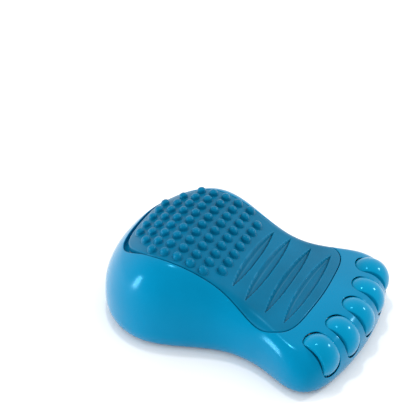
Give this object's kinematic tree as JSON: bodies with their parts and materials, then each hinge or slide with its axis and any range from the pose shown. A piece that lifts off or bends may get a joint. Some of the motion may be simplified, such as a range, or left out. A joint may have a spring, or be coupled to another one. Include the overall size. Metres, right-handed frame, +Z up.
{
  "type": "foot massage roller",
  "caption": "Foot-shaped floor massager: hollow housing with a nubbed, grooved lift-off pad and free-turning ball rollers along the toe edge.",
  "frame": {"origin": "centre of the bounding box at floor level", "axes": "+X to the toe end, +Y across to the far side, +Z up"},
  "size_m": [0.169, 0.1202, 0.0596],
  "materials": {
    "shell": "high-gloss moulded blue plastic",
    "cover": "satin moulded blue plastic",
    "pad": "soft satin blue elastomer",
    "roller": "polished blue plastic",
    "inner_plastic": "natural white acetal",
    "steel": "bright zinc-plated steel",
    "foot_rubber": "matt dark rubber"
  },
  "bodies": {
    "housing": {"top_shell": "shell", "base_cover": "cover", "roller_cradle": "inner_plastic", "axle_keeper": "inner_plastic", "roller_axle_1": "steel", "roller_axle_2": "steel", "roller_axle_3": "steel", "roller_axle_4": "steel", "roller_axle_5": "steel", "base_screw_1": "steel", "base_screw_2": "steel", "base_screw_3": "steel", "base_screw_4": "steel", "base_screw_5": "steel", "base_screw_6": "steel", "cradle_screw_1": "steel", "cradle_screw_2": "steel", "keeper_screw_1": "steel", "keeper_screw_2": "steel", "keeper_screw_3": "steel", "rubber_foot_1": "foot_rubber", "rubber_foot_2": "foot_rubber", "rubber_foot_3": "foot_rubber", "rubber_foot_4": "foot_rubber"},
    "pad": {"massage_pad": "pad"},
    "roller_1": {"toe_roller_1": "roller"},
    "roller_2": {"toe_roller_2": "roller"},
    "roller_3": {"toe_roller_3": "roller"},
    "roller_4": {"toe_roller_4": "roller"},
    "roller_5": {"toe_roller_5": "roller"}
  },
  "joints": [
    {"name": "pad_lift", "type": "slide", "parent": "housing", "child": "pad", "axis": [0, 0, 1], "range_m": [0, 0.05]},
    {"name": "roller_1_spin", "type": "hinge", "parent": "housing", "child": "roller_1", "pos_m": [0.06582, -0.04046, 0.018], "axis": [0.289, 0.9573, 0], "continuous": true},
    {"name": "roller_2_spin", "type": "hinge", "parent": "housing", "child": "roller_2", "pos_m": [0.0703, -0.02045, 0.018], "axis": [0.1461, 0.9893, 0], "continuous": true},
    {"name": "roller_3_spin", "type": "hinge", "parent": "housing", "child": "roller_3", "pos_m": [0.0718, 0, 0.018], "axis": [0, 1, 0], "continuous": true},
    {"name": "roller_4_spin", "type": "hinge", "parent": "housing", "child": "roller_4", "pos_m": [0.0703, 0.02045, 0.018], "axis": [-0.1461, 0.9893, 0], "continuous": true},
    {"name": "roller_5_spin", "type": "hinge", "parent": "housing", "child": "roller_5", "pos_m": [0.06582, 0.04046, 0.018], "axis": [-0.289, 0.9573, 0], "continuous": true}
  ]
}
